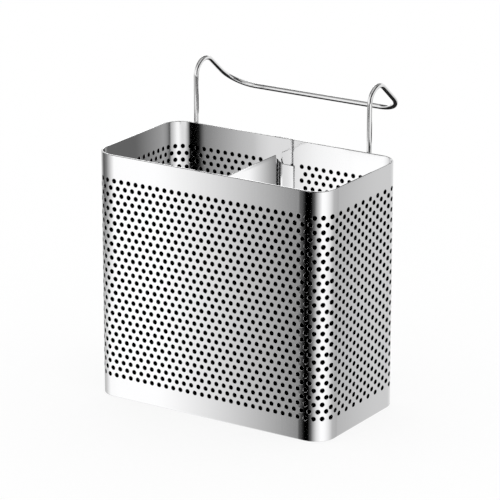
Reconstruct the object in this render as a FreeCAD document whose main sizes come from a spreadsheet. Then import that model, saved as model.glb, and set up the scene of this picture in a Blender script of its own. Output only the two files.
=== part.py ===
import FreeCAD, Part
import math
import os
import Sketcher
from FreeCAD import Placement, Rotation, Vector

# A hanging cutlery basket of perforated stainless sheet. The origin is at the middle of its foot,
# +Z is up, the front faces -Y and the wire hanger stands behind the back wall, at +Y.
doc = FreeCAD.newDocument("utensil_holder")

# Driving dimensions in millimetres and degrees, each in its own named cell.
SIZES = [
    ("body_width", 160.0, "outside width of the wall, along X"),
    ("body_depth", 86.0, "outside depth of the wall, along Y"),
    ("body_height", 151.0, "height of the wall, foot to rim"),
    ("corner_radius", 13.0, "outside radius of the upright corner bends"),
    ("sheet_gauge", 1.0, "thickness of the wall sheet"),
    ("hole_diameter", 3.0, "perforation of the wall"),
    ("hole_spacing", 5.1, "centre to centre along a row of the main pattern"),
    ("row_spacing", 4.33, "row to row of the main pattern"),
    ("band_height", 14.0, "least plain band, rim or foot to the nearest hole centres"),
    ("pattern_drop", 0.8, "middle of the hole rows below the middle of the wall"),
    ("pattern_shift", -1.0, "middle column of the main pattern from the middle of the front"),
    ("side_column_spacing", 4.12, "column to column of the right wall's pattern"),
    ("side_row_spacing", 3.19, "row to row of the right wall's pattern"),
    ("side_lead", 3.4, "first side column, ahead of the right wall's front bend line"),
    ("pattern_web", 0.3, "least steel between a pattern's last column and what it stops at"),
    ("bend_web", 0.1, "least steel between a hole and a bend line that it doesn't cross"),
    ("middle_offset", -4.0, "divider plane and hanger middle from the middle of the body"),
    ("plain_left", 11.5, "divider plane to the nearest hole centres, left half of the back"),
    ("plain_right", 15.5, "divider plane to the nearest hole centres, right half of the back"),
    ("seam_reach", 8.1, "divider plane to the cut edge of the left end of the sheet"),
    ("seam_gap", 0.3, "cut edge to the start of the step in the right end of the sheet"),
    ("lap_width", 12.0, "how far the right end of the sheet laps behind the left end"),
    ("lap_clearance", 0.05, "between the two layers of the lap"),
    ("step_radius", 1.5, "middle radius of the step's two bends"),
    ("pan_gauge", 0.8, "thickness of the base pan"),
    ("pan_lip", 9.0, "height of the base pan's upturned lip"),
    ("pan_clearance", 0.1, "base pan to wall"),
    ("drain_diameter", 4.0, "drain hole of the base pan"),
    ("drain_spacing", 11.0, "centre to centre along a row of drain holes"),
    ("drain_margin", 12.0, "inside of a compartment to its outermost drain hole centres"),
    ("divider_gauge", 0.8, "thickness of the divider"),
    ("divider_drop", 10.0, "rim to the top edge of the divider"),
    ("divider_bend", 3.0, "inside radius of the divider's bends"),
    ("flange_width", 10.6, "divider plane to the edge of its flanges"),
    ("flange_drop", 6.0, "top edge of the divider to the top of its flanges"),
    ("flange_clearance", 0.6, "base pan's lip to the foot of the flanges"),
    ("wire_diameter", 3.0, "hanger wire"),
    ("leg_inset", 2.0, "end of the back wall's flat to the nearer hanger leg"),
    ("leg_depth", 46.0, "rim to the lower ends of the hanger legs"),
    ("hook_rise", 28.0, "rim to the start of the hook bends"),
    ("hook_bend", 9.8, "middle radius of the hook bends"),
    ("hook_reach", 40.5, "hanger legs to the crossbar, along Y"),
    ("hook_slope", 39.0, "fall of the hooks towards the crossbar, in degrees"),
    ("bar_bend", 17.0, "middle radius of the bends from the hooks into the crossbar"),
    ("weld_size", 1.1, "radius of a weld bead in the groove beside a leg"),
    ("weld_length", 7.0, "length of a weld bead"),
    ("weld_inset", 6.0, "rim or leg end to the nearest end of a weld bead"),
]
sheet = doc.addObject("Spreadsheet::Sheet", "Sizes")
for line, (alias, value, note) in enumerate(SIZES, 1):
    sheet.set(f"A{line}", note)
    sheet.set(f"B{line}", str(value))
    sheet.setAlias(f"B{line}", alias)
doc.recompute()


def size(alias):
    """A driving dimension, read from its cell."""
    return float(sheet.get(alias))


WIDTH = size("body_width")
DEPTH = size("body_depth")
HEIGHT = size("body_height")
BEND = size("corner_radius")
GAUGE = size("sheet_gauge")
HOLE = size("hole_diameter") / 2
MIDDLE = size("middle_offset")

# The sheet's outer face laid out flat: lengths along it from the middle of the front, to the right.
# The bend lines follow one another round each half, and the left half mirrors the right.
FRONT_END = WIDTH / 2 - BEND
SIDE_START = FRONT_END + BEND * math.pi / 2
SIDE_END = SIDE_START + DEPTH - 2 * BEND
BACK_START = SIDE_END + BEND * math.pi / 2
BEND_LINES = [FRONT_END, SIDE_START, SIDE_END, BACK_START]
BEND_LINES += [-line for line in BEND_LINES]

# The seam at the back: the left end of the sheet stops at its cut edge, and the right end steps
# outwards by one thickness through two equal bends and laps behind it.
SEAM_EDGE = MIDDLE + size("seam_reach")
STEP_OUT = GAUGE + size("lap_clearance")
STEP_ANGLE = math.acos(1 - STEP_OUT / (2 * size("step_radius")))
STEP_RUN = 2 * size("step_radius") * math.sin(STEP_ANGLE)
STEP_LEFT = SEAM_EDGE + size("seam_gap")
STEP_RIGHT = STEP_LEFT + STEP_RUN
LAP_EDGE = SEAM_EDGE - size("lap_width")


def back_length(x):
    """Laid-out length of a place on the back wall, measured round the half that it lies on."""
    return BACK_START + FRONT_END - x


def rows(spacing):
    """Heights of an odd number of evenly spaced rows between the plain bands, a little below the middle."""
    drop = size("pattern_drop")
    room = HEIGHT - 2 * (size("band_height") + abs(drop))
    count = 2 * int(room / (2 * spacing)) + 1
    return [HEIGHT / 2 - drop + (row - (count - 1) / 2) * spacing for row in range(count)]


MAIN_ROWS = rows(size("row_spacing"))
SIDE_HALVES = round((MAIN_ROWS[-1] - MAIN_ROWS[0]) / size("side_row_spacing") / 2)
SIDE_STEP = (MAIN_ROWS[-1] - MAIN_ROWS[0]) / (2 * SIDE_HALVES)
SIDE_ROWS = [MAIN_ROWS[0] + row * SIDE_STEP for row in range(2 * SIDE_HALVES + 1)]


def settled(place):
    """Move a column that would only graze a bend line until it stands clear of it."""
    web = size("bend_web")
    for line in BEND_LINES:
        offset = place - line
        if HOLE - web < abs(offset) < HOLE + web:
            place = line + math.copysign(HOLE + web, offset)
    return place


def perforations():
    """Columns of holes round the sheet, as (laid-out place, row heights)."""
    half_step = size("hole_spacing") / 2
    first_side = SIDE_START - size("side_lead")
    last_main = first_side - 2 * HOLE - size("pattern_web")
    clear = HOLE + size("pattern_web")
    left_limit = back_length(-min(MIDDLE - size("plain_left"), LAP_EDGE - clear))
    right_limit = back_length(max(MIDDLE + size("plain_right"), STEP_RIGHT + clear))
    columns = []
    reach = int(left_limit / half_step) + 2
    for index in range(-reach, reach + 1):
        place = settled(size("pattern_shift") + index * half_step)
        heights = MAIN_ROWS[(index + 1) % 2::2]
        if -left_limit <= place <= last_main:
            columns.append((place, heights))
        if BACK_START + HOLE < -place <= right_limit:
            columns.append((-place, heights))
    side_count = int((BACK_START - clear - first_side) / size("side_column_spacing")) + 1
    for index in range(side_count):
        place = settled(first_side + index * size("side_column_spacing"))
        columns.append((place, SIDE_ROWS[index % 2::2]))
    return columns


COLUMNS = perforations()


def direction(angle):
    """Level unit vector at an angle from +X."""
    return Vector(math.cos(angle), math.sin(angle), 0)


def add_feature(label, shape):
    """A document object that holds a finished sheet-metal or wire shape."""
    feature = doc.addObject("Part::Feature", label)
    feature.Label = label
    feature.Shape = shape
    feature.Placement = Placement(Vector(0, 0, 0), Rotation())
    return feature


# The flat walls. Each stands between two bend lines, and the holes that a bend line crosses notch its
# upright edges.
def panel_outline(low, high, columns, at):
    """Closed outline of a flat wall from foot to rim, notched where columns cross its upright edges."""
    edges = []

    def edge(start, end):
        edges.append(Part.LineSegment(at(*start), at(*end)).toShape())

    def upright(line, inward, heights_up):
        notches = []
        for place, heights in columns:
            if abs(place - line) < HOLE:
                reach = math.sqrt(HOLE ** 2 - (place - line) ** 2)
                notches += [(height, reach, place + inward * HOLE) for height in heights]
        notches.sort(reverse=not heights_up)
        rising = 1 if heights_up else -1
        level = 0 if heights_up else HEIGHT
        for height, reach, deepest in notches:
            below = height - rising * reach
            above = height + rising * reach
            edge((line, level), (line, below))
            edges.append(Part.Arc(at(line, below), at(deepest, height), at(line, above)).toShape())
            level = above
        edge((line, level), (line, HEIGHT if heights_up else 0))

    edge((low, 0), (high, 0))
    upright(high, -1, True)
    edge((high, HEIGHT), (low, HEIGHT))
    upright(low, 1, False)
    return Part.Wire(edges)


def flat_wall(low, high, angle, anchor):
    """Perforated flat wall between two laid-out lengths. Its outer face passes through anchor, which
    lies at the laid-out length low, and looks along angle."""
    outward = direction(angle)
    along = direction(angle + math.pi / 2)

    def at(place, height):
        return anchor + along * (place - low) + Vector(0, 0, height)

    near = [column for column in COLUMNS if low - HOLE < column[0] < high + HOLE]
    wires = [panel_outline(low, high, near, at)]
    for place, heights in near:
        if low + HOLE < place < high - HOLE:
            for height in heights:
                hole = Part.Wire(Part.Circle(at(place, height), outward, HOLE).toShape())
                hole.reverse()
                wires.append(hole)
    return Part.Face(wires).extrude(outward * -GAUGE)


FACING_FRONT = -math.pi / 2
FACING_RIGHT = 0
FACING_BACK = math.pi / 2
FACING_LEFT = math.pi

wall_front = add_feature(
    "wall_front",
    flat_wall(-FRONT_END, FRONT_END, FACING_FRONT, Vector(-FRONT_END, -DEPTH / 2, 0)))
wall_right = add_feature(
    "wall_right",
    flat_wall(SIDE_START, SIDE_END, FACING_RIGHT, Vector(WIDTH / 2, BEND - DEPTH / 2, 0)))
wall_left = add_feature(
    "wall_left",
    flat_wall(-SIDE_END, -SIDE_START, FACING_LEFT, Vector(-WIDTH / 2, DEPTH / 2 - BEND, 0)))
wall_back_left = add_feature(
    "wall_back_left",
    flat_wall(-back_length(-SEAM_EDGE), -BACK_START, FACING_BACK, Vector(SEAM_EDGE, DEPTH / 2, 0)))


def seam_step():
    """The stepped and lapped end of the sheet: a plan outline of its two bends, drawn up to the rim."""
    inner = size("step_radius") - GAUGE / 2
    outer = size("step_radius") + GAUGE / 2
    first = Vector(STEP_RIGHT, DEPTH / 2 - GAUGE / 2 + size("step_radius"), 0)
    second = Vector(STEP_LEFT, DEPTH / 2 - GAUGE / 2 + STEP_OUT - size("step_radius"), 0)

    def bend(centre, radius, start_angle, turn):
        spots = [centre + direction(start_angle + turn * share) * radius for share in (0, 0.5, 1)]
        return Part.Arc(*spots).toShape()

    turn = STEP_ANGLE
    inside = [bend(first, outer, -math.pi / 2, -turn), bend(second, inner, math.pi / 2 - turn, turn)]
    outside = [bend(second, outer, math.pi / 2, -turn), bend(first, inner, -math.pi / 2 - turn, turn)]
    lap_inside = Vector(LAP_EDGE, DEPTH / 2 - GAUGE + STEP_OUT, 0)
    lap_outside = lap_inside + Vector(0, GAUGE, 0)
    end_inside = Vector(STEP_RIGHT, DEPTH / 2 - GAUGE, 0)
    end_outside = Vector(STEP_RIGHT, DEPTH / 2, 0)
    lines = [
        Part.LineSegment(inside[1].valueAt(inside[1].LastParameter), lap_inside).toShape(),
        Part.LineSegment(lap_inside, lap_outside).toShape(),
        Part.LineSegment(lap_outside, outside[0].valueAt(outside[0].FirstParameter)).toShape(),
        Part.LineSegment(end_outside, end_inside).toShape(),
    ]
    outline = Part.Wire([inside[0], inside[1], lines[0], lines[1], lines[2]] + outside + [lines[3]])
    return Part.Face(outline).extrude(Vector(0, 0, HEIGHT))


back_right_panel = flat_wall(
    BACK_START, back_length(STEP_RIGHT), FACING_BACK, Vector(FRONT_END, DEPTH / 2, 0))
wall_back_right = add_feature("wall_back_right", back_right_panel.fuse(seam_step()))


# The upright corner bends: a quarter of a ring each, drilled square to its own curve. A hole that a
# bend line crosses is drilled square to the flat wall beside it.
def corner_wall(low, high, start_angle, centre):
    """Perforated quarter ring between two laid-out lengths, facing start_angle at its low end."""
    end_angle = start_angle + math.pi / 2

    def arc(radius):
        spots = [centre + direction(start_angle + math.pi / 4 * step) * radius for step in range(3)]
        return Part.Arc(*spots).toShape()

    def spoke(angle):
        return Part.LineSegment(
            centre + direction(angle) * (BEND - GAUGE), centre + direction(angle) * BEND).toShape()

    section = Part.Wire(Part.__sortEdges__(
        [arc(BEND), spoke(end_angle), arc(BEND - GAUGE), spoke(start_angle)]))
    ring = Part.Face(section).extrude(Vector(0, 0, HEIGHT))
    drills = []
    for place, heights in COLUMNS:
        if not low - HOLE < place < high + HOLE:
            continue
        if place < low + HOLE:
            axis = direction(start_angle)
            aside = direction(end_angle) * (place - low)
        elif place > high - HOLE:
            axis = direction(end_angle)
            aside = direction(start_angle) * (high - place)
        else:
            axis = direction(start_angle + (place - low) / BEND)
            aside = Vector(0, 0, 0)
        for height in heights:
            foot = centre + aside + axis * (BEND - 2 * GAUGE) + Vector(0, 0, height)
            drills.append(Part.makeCylinder(HOLE, 3 * GAUGE, foot, axis))
    return ring.cut(drills)


LEFT_CENTRE = BEND - WIDTH / 2
RIGHT_CENTRE = WIDTH / 2 - BEND
FRONT_CENTRE = BEND - DEPTH / 2
BACK_CENTRE = DEPTH / 2 - BEND
corner_front_right = add_feature(
    "corner_front_right",
    corner_wall(FRONT_END, SIDE_START, FACING_FRONT, Vector(RIGHT_CENTRE, FRONT_CENTRE, 0)))
corner_back_right = add_feature(
    "corner_back_right",
    corner_wall(SIDE_END, BACK_START, FACING_RIGHT, Vector(RIGHT_CENTRE, BACK_CENTRE, 0)))
corner_front_left = add_feature(
    "corner_front_left",
    corner_wall(-SIDE_START, -FRONT_END, FACING_LEFT, Vector(LEFT_CENTRE, FRONT_CENTRE, 0)))
corner_back_left = add_feature(
    "corner_back_left",
    corner_wall(-BACK_START, -SIDE_END, FACING_BACK, Vector(LEFT_CENTRE, BACK_CENTRE, 0)))


def add_body(label):
    """A body of sketched features."""
    body = doc.addObject("PartDesign::Body", label)
    body.Label = label
    return body


def add_sketch(body, name, role, raised="0 mm"):
    """A sketch on one of the body's own origin planes, raised along the plane's normal."""
    sketch = body.newObject("Sketcher::SketchObject", name)
    plane = [item for item in body.Origin.OriginFeatures if item.Role == role][0]
    sketch.AttachmentSupport = [(plane, "")]
    sketch.MapMode = "FlatFace"
    sketch.setExpression("AttachmentOffset.Base.z", raised)
    return sketch


def dimension(sketch, kind, formula, *places):
    """A dimensional constraint whose value follows a formula on the driving sizes."""
    index = sketch.addConstraint(Sketcher.Constraint(kind, *places))
    sketch.setExpression(f"Constraints[{index}]", formula)


START = 1
END = 2
CENTRE = 3
ROOT = -1


def rounded_rectangle(sketch, width, depth, radius):
    """A rounded rectangle centred on the sketch's origin, as (value, formula) sizes."""
    half_x = width[0] / 2
    half_y = depth[0] / 2
    corner = radius[0]
    spots = [
        ((-half_x + corner, -half_y), (half_x - corner, -half_y)),
        ((half_x, -half_y + corner), (half_x, half_y - corner)),
        ((half_x - corner, half_y), (-half_x + corner, half_y)),
        ((-half_x, half_y - corner), (-half_x, -half_y + corner)),
    ]
    sides = [
        sketch.addGeometry(Part.LineSegment(Vector(*start, 0), Vector(*end, 0)), False)
        for start, end in spots
    ]
    arcs = []
    for index, (x_sign, y_sign) in enumerate([(1, -1), (1, 1), (-1, 1), (-1, -1)]):
        circle = Part.Circle(
            Vector(x_sign * (half_x - corner), y_sign * (half_y - corner), 0), Vector(0, 0, 1), corner)
        turn = math.pi / 2 * (index - 1)
        arcs.append(sketch.addGeometry(Part.ArcOfCircle(circle, turn, turn + math.pi / 2), False))
    for index in range(4):
        following = sides[(index + 1) % 4]
        sketch.addConstraint(Sketcher.Constraint("Tangent", sides[index], END, arcs[index], START))
        sketch.addConstraint(Sketcher.Constraint("Tangent", arcs[index], END, following, START))
        level = "Horizontal" if index % 2 == 0 else "Vertical"
        sketch.addConstraint(Sketcher.Constraint(level, sides[index]))
    for index in range(3):
        sketch.addConstraint(Sketcher.Constraint("Equal", arcs[index], arcs[3]))
    dimension(sketch, "Radius", radius[1], arcs[3], corner)
    dimension(sketch, "DistanceX", f"({width[1]}) / 2", ROOT, START, sides[1], START, half_x)
    dimension(sketch, "DistanceX", width[1], sides[3], END, sides[1], START, width[0])
    dimension(sketch, "DistanceY", f"({depth[1]}) / 2", ROOT, START, sides[2], START, half_y)
    dimension(sketch, "DistanceY", depth[1], sides[0], END, sides[2], START, depth[0])


def extrude(body, kind, name, sketch, length=None, upwards=False):
    """A pad or pocket of a sketch, to a formula's length or through everything."""
    feature = body.newObject(kind, name)
    feature.Profile = sketch
    feature.Reversed = upwards
    if length is None:
        feature.Type = "ThroughAll"
    else:
        feature.setExpression("Length", length)
    body.Tip = feature
    return feature


# The base pan: a pressed tray that stands flush with the wall's foot, with an upturned lip inside the
# wall and drain holes in staggered rows either side of the divider.
PAN_GAP = GAUGE + size("pan_clearance")
PAN_FORMULA = "Sizes.sheet_gauge + Sizes.pan_clearance"
base_pan = add_body("base_pan")
tray = add_sketch(base_pan, "pan_outline", "XY_Plane")
rounded_rectangle(
    tray,
    (WIDTH - 2 * PAN_GAP, f"Sizes.body_width - 2 * ({PAN_FORMULA})"),
    (DEPTH - 2 * PAN_GAP, f"Sizes.body_depth - 2 * ({PAN_FORMULA})"),
    (BEND - PAN_GAP, f"Sizes.corner_radius - ({PAN_FORMULA})"))
extrude(base_pan, "PartDesign::Pad", "pan_block", tray, "Sizes.pan_lip")
hollow = add_sketch(base_pan, "pan_hollow_outline", "XY_Plane", "Sizes.pan_gauge")
LIP_GAP = PAN_GAP + size("pan_gauge")
LIP_FORMULA = f"{PAN_FORMULA} + Sizes.pan_gauge"
rounded_rectangle(
    hollow,
    (WIDTH - 2 * LIP_GAP, f"Sizes.body_width - 2 * ({LIP_FORMULA})"),
    (DEPTH - 2 * LIP_GAP, f"Sizes.body_depth - 2 * ({LIP_FORMULA})"),
    (BEND - LIP_GAP, f"Sizes.corner_radius - ({LIP_FORMULA})"))
extrude(base_pan, "PartDesign::Pocket", "pan_hollow", hollow, upwards=True)


def drain_field(name, low, high):
    """Staggered drain holes in one compartment, centred between two formulas for its ends along X."""
    for stagger in (0, 1):
        def count(room):
            return f"floor(({room} - 2 * Sizes.drain_margin) / Sizes.drain_spacing) + {1 - stagger}"

        across = count(f"({high} - ({low}))")
        deep = count("(Sizes.body_depth - 2 * Sizes.sheet_gauge)")
        length = f"({across} - 1) * Sizes.drain_spacing"
        depth = f"({deep} - 1) * Sizes.drain_spacing"
        drain = add_sketch(base_pan, f"{name}_drain_{stagger}_outline", "XY_Plane")
        drain.setExpression("AttachmentOffset.Base.x", f"({low} + {high}) / 2 - {length} / 2")
        drain.setExpression("AttachmentOffset.Base.y", f"-{depth} / 2")
        ring = drain.addGeometry(
            Part.Circle(Vector(0, 0, 0), Vector(0, 0, 1), size("drain_diameter") / 2), False)
        drain.addConstraint(Sketcher.Constraint("Coincident", ring, CENTRE, ROOT, START))
        dimension(drain, "Diameter", "Sizes.drain_diameter", ring, size("drain_diameter"))
        hole = extrude(base_pan, "PartDesign::Pocket", f"{name}_drain_{stagger}", drain, upwards=True)
        field = base_pan.newObject("PartDesign::LinearPattern", f"{name}_drains_{stagger}")
        field.Originals = [hole]
        field.Direction = (drain, ["H_Axis"])
        field.Direction2 = (drain, ["V_Axis"])
        field.setExpression("Occurrences", across)
        field.setExpression("Occurrences2", deep)
        field.setExpression("Length", length)
        field.setExpression("Length2", depth)
        base_pan.Tip = field


LEFT_WALL = "Sizes.sheet_gauge - Sizes.body_width / 2"
RIGHT_WALL = "Sizes.body_width / 2 - Sizes.sheet_gauge"
drain_field("left", LEFT_WALL, "Sizes.middle_offset - Sizes.divider_gauge / 2")
drain_field("right", "Sizes.middle_offset + Sizes.divider_gauge / 2", RIGHT_WALL)

# The divider: one folded plate across the body, with a flange at each end that lies on the wall. The
# flanges stop short of its top edge and above the pan's lip, and the plate stands on the pan.
PLATE = size("divider_gauge")
FOLD = size("divider_bend")
INSIDE = DEPTH / 2 - GAUGE
divider = add_body("divider")
plan = add_sketch(divider, "divider_plan", "XY_Plane", "Sizes.pan_gauge")
plate_left = -PLATE / 2
plate_right = PLATE / 2
flange_edge = size("flange_width")
fold_out = PLATE + FOLD
plan_lines = [
    ((flange_edge, -INSIDE + PLATE), (flange_edge, -INSIDE)),
    ((flange_edge, -INSIDE), (plate_left + fold_out, -INSIDE)),
    ((plate_left, -INSIDE + fold_out), (plate_left, INSIDE - fold_out)),
    ((plate_left + fold_out, INSIDE), (flange_edge, INSIDE)),
    ((flange_edge, INSIDE), (flange_edge, INSIDE - PLATE)),
    ((flange_edge, INSIDE - PLATE), (plate_right + FOLD, INSIDE - PLATE)),
    ((plate_right, INSIDE - fold_out), (plate_right, -INSIDE + fold_out)),
    ((plate_right + FOLD, -INSIDE + PLATE), (flange_edge, -INSIDE + PLATE)),
]
lines = [
    plan.addGeometry(Part.LineSegment(Vector(*start, 0), Vector(*end, 0)), False)
    for start, end in plan_lines
]
fold_x = plate_right + FOLD
front_fold = Vector(fold_x, -INSIDE + fold_out, 0)
back_fold = Vector(fold_x, INSIDE - fold_out, 0)
up = Vector(0, 0, 1)
half_turn = math.pi
quarter = math.pi / 2
front_outer = plan.addGeometry(
    Part.ArcOfCircle(Part.Circle(front_fold, up, fold_out), half_turn, half_turn + quarter), False)
back_outer = plan.addGeometry(
    Part.ArcOfCircle(Part.Circle(back_fold, up, fold_out), quarter, half_turn), False)
back_inner = plan.addGeometry(
    Part.ArcOfCircle(Part.Circle(back_fold, up, FOLD), quarter, half_turn), False)
front_inner = plan.addGeometry(
    Part.ArcOfCircle(Part.Circle(front_fold, up, FOLD), half_turn, half_turn + quarter), False)
for first, first_end, second, second_end in [
    (lines[1], END, front_outer, END),
    (front_outer, START, lines[2], START),
    (lines[2], END, back_outer, END),
    (back_outer, START, lines[3], START),
    (lines[5], END, back_inner, START),
    (back_inner, END, lines[6], START),
    (lines[6], END, front_inner, START),
    (front_inner, END, lines[7], START),
]:
    plan.addConstraint(Sketcher.Constraint("Tangent", first, first_end, second, second_end))
for first, second in [(0, 1), (3, 4), (4, 5), (7, 0)]:
    plan.addConstraint(Sketcher.Constraint("Coincident", lines[first], END, lines[second], START))
for level, upright in [(1, 0), (3, 2), (5, 4), (7, 6)]:
    plan.addConstraint(Sketcher.Constraint("Horizontal", lines[level]))
    plan.addConstraint(Sketcher.Constraint("Vertical", lines[upright]))
dimension(plan, "Radius", "Sizes.divider_bend", back_inner, FOLD)
dimension(plan, "Radius", "Sizes.divider_bend", front_inner, FOLD)
dimension(plan, "Radius", "Sizes.divider_bend + Sizes.divider_gauge", back_outer, fold_out)
dimension(plan, "Radius", "Sizes.divider_bend + Sizes.divider_gauge", front_outer, fold_out)
dimension(plan, "DistanceX", "Sizes.divider_gauge / 2", lines[2], START, ROOT, START, PLATE / 2)
dimension(plan, "DistanceX", "Sizes.divider_gauge", lines[2], START, lines[6], START, PLATE)
INSIDE_FORMULA = "Sizes.body_depth / 2 - Sizes.sheet_gauge"
for tip in (lines[0], lines[4]):
    dimension(plan, "DistanceX", "Sizes.flange_width", ROOT, START, tip, START, flange_edge)
    dimension(plan, "DistanceY", "Sizes.divider_gauge", tip, END, tip, START, PLATE)
dimension(plan, "DistanceY", INSIDE_FORMULA, ROOT, START, lines[3], END, INSIDE)
dimension(plan, "DistanceY", INSIDE_FORMULA, lines[0], END, ROOT, START, INSIDE)
extrude(
    divider, "PartDesign::Pad", "divider_plate", plan,
    "Sizes.body_height - Sizes.divider_drop - Sizes.pan_gauge")


def flange_relief(name, y_sign, top):
    """Cut the flange and its bend away above its top edge or below its foot, at one end."""
    relief = add_sketch(divider, name + "_outline", "YZ_Plane")
    lip_depth = size("pan_clearance") + size("pan_gauge") + size("flange_clearance")
    inner = y_sign * (INSIDE - (fold_out if top else max(fold_out, lip_depth)))
    outer = y_sign * (INSIDE + fold_out)
    flange_top = HEIGHT - size("divider_drop") - size("flange_drop")
    flange_foot = size("pan_lip") + size("flange_clearance")
    level = flange_top if top else flange_foot
    past = HEIGHT if top else -fold_out
    corners = [(inner, level), (outer, level), (outer, past), (inner, past)]
    sides = []
    for start, end in zip(corners, corners[1:] + corners[:1]):
        sides.append(relief.addGeometry(Part.LineSegment(Vector(*start, 0), Vector(*end, 0)), False))
    for index in range(4):
        following = sides[(index + 1) % 4]
        relief.addConstraint(Sketcher.Constraint("Coincident", sides[index], END, following, START))
        kind = "Horizontal" if index % 2 == 0 else "Vertical"
        relief.addConstraint(Sketcher.Constraint(kind, sides[index]))
    fold = "(Sizes.divider_bend + Sizes.divider_gauge)"
    lip = "(Sizes.pan_clearance + Sizes.pan_gauge + Sizes.flange_clearance)"
    depth = fold if top else f"max({fold}; {lip})"
    for corner, formula, value in (
        (0, f"{INSIDE_FORMULA} - {depth}", abs(inner)), (1, f"{INSIDE_FORMULA} + {fold}", abs(outer)),
    ):
        ends = (ROOT, START, sides[corner], START)
        if y_sign < 0:
            ends = (sides[corner], START, ROOT, START)
        dimension(relief, "DistanceX", formula, *ends, value)
    if top:
        formula = "Sizes.body_height - Sizes.divider_drop - Sizes.flange_drop"
        dimension(relief, "DistanceY", "Sizes.body_height", ROOT, START, sides[2], START, HEIGHT)
    else:
        formula = "Sizes.pan_lip + Sizes.flange_clearance"
        dimension(relief, "DistanceY", fold, sides[2], START, ROOT, START, fold_out)
    dimension(relief, "DistanceY", formula, ROOT, START, sides[0], START, level)
    pocket = extrude(divider, "PartDesign::Pocket", name, relief)
    pocket.Midplane = True


for end_name, y_sign in (("front", -1), ("back", 1)):
    flange_relief(end_name + "_relief_top", y_sign, True)
    flange_relief(end_name + "_relief_foot", y_sign, False)
divider.setExpression("Placement.Base.x", "Sizes.middle_offset")

# The hanger: one wire, welded by its two legs to the outside of the back wall. Each leg rises into a
# hook that turns back and falls, and then bends in a wider curve into the crossbar.
WIRE = size("wire_diameter") / 2
LEG_Y = DEPTH / 2 + WIRE
TURN = size("hook_bend")
SWEEP = size("bar_bend")
FALL = math.radians(size("hook_slope"))
HOOK_START = HEIGHT + size("hook_rise")
BAR_Y = LEG_Y + size("hook_reach")
fall_start = Vector(0, LEG_Y + TURN + TURN * math.sin(FALL), HOOK_START + TURN * math.cos(FALL))
BAR_Z = fall_start.z - (BAR_Y - fall_start.y) * math.tan(FALL)
LEG_FOOT = HEIGHT - size("leg_depth")
LEG_REACH = FRONT_END - abs(MIDDLE) - size("leg_inset")


def half_hanger(side):
    """Middle line of one half of the hanger, from the foot of a leg to the middle of the crossbar."""
    leg_x = MIDDLE + side * LEG_REACH
    crest = Vector(leg_x, LEG_Y + TURN, HOOK_START)

    def on_hook(angle):
        return crest + Vector(0, -math.cos(angle), math.sin(angle)) * TURN

    falling = Vector(0, math.cos(FALL), -math.sin(FALL))
    inward = Vector(-side, 0, 0)
    corner = Vector(leg_x, BAR_Y, BAR_Z)
    bend_start = corner - falling * SWEEP
    bend_end = corner + inward * SWEEP
    bend_middle = bend_start + inward * SWEEP + (falling - inward) * (SWEEP * math.sqrt(0.5))
    hook_end = quarter + FALL
    return [
        Part.LineSegment(Vector(leg_x, LEG_Y, LEG_FOOT), on_hook(0)).toShape(),
        Part.Arc(on_hook(0), on_hook(hook_end / 2), on_hook(hook_end)).toShape(),
        Part.LineSegment(on_hook(hook_end), bend_start).toShape(),
        Part.Arc(bend_start, bend_middle, bend_end).toShape(),
        Part.LineSegment(bend_end, Vector(MIDDLE, BAR_Y, BAR_Z)).toShape(),
    ]


spine = Part.Wire(Part.__sortEdges__(half_hanger(-1) + half_hanger(1)))
leg_foot = Vector(MIDDLE - LEG_REACH, LEG_Y, LEG_FOOT)
wire_section = Part.Wire(Part.Circle(leg_foot, Vector(0, 0, 1), WIRE).toShape())
hanger_wire = add_feature("hanger_wire", spine.makePipeShell([wire_section], True, False))
print("hanger: wire length", round(spine.Length, 2), "volume over section times length",
      round(hanger_wire.Shape.Volume / (math.pi * WIRE ** 2 * spine.Length), 5))


# The welds: two short beads on each side of each leg, in the groove between the wire and the wall.
def weld_bead(leg, side, name, height):
    """One bead along the groove beside a leg, cut to the wire's and the wall's surfaces."""
    flat_end = "Sizes.body_width / 2 - Sizes.corner_radius"
    reach = f"({flat_end} - abs(Sizes.middle_offset) - Sizes.leg_inset)"
    leg_x = f"(Sizes.middle_offset + {leg} * {reach})"
    wire_y = "(Sizes.body_depth / 2 + Sizes.wire_diameter / 2)"
    bead = doc.addObject("Part::Cylinder", name + "_rod")
    bead.setExpression("Radius", "Sizes.weld_size")
    bead.setExpression("Height", "Sizes.weld_length")
    bead.setExpression("Placement.Base.x", f"{leg_x} + {side} * Sizes.wire_diameter / 2")
    bead.setExpression("Placement.Base.y", "Sizes.body_depth / 2")
    bead.setExpression("Placement.Base.z", height)
    wire = doc.addObject("Part::Cylinder", name + "_wire")
    wire.setExpression("Radius", "Sizes.wire_diameter / 2")
    wire.setExpression("Height", "3 * Sizes.weld_length")
    wire.setExpression("Placement.Base.x", leg_x)
    wire.setExpression("Placement.Base.y", wire_y)
    wire.setExpression("Placement.Base.z", f"{height} - Sizes.weld_length")
    wall = doc.addObject("Part::Box", name + "_wall")
    wall.setExpression("Length", "4 * (Sizes.weld_size + Sizes.wire_diameter)")
    wall.setExpression("Width", "2 * Sizes.weld_size")
    wall.setExpression("Height", "3 * Sizes.weld_length")
    wall.setExpression("Placement.Base.x", f"{leg_x} - 2 * (Sizes.weld_size + Sizes.wire_diameter)")
    wall.setExpression("Placement.Base.y", "Sizes.body_depth / 2 - 2 * Sizes.weld_size")
    wall.setExpression("Placement.Base.z", f"{height} - Sizes.weld_length")
    off_wire = doc.addObject("Part::Cut", name + "_off_wire")
    off_wire.Base = bead
    off_wire.Tool = wire
    off_wall = doc.addObject("Part::Cut", name)
    off_wall.Base = off_wire
    off_wall.Tool = wall
    return off_wall


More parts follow.
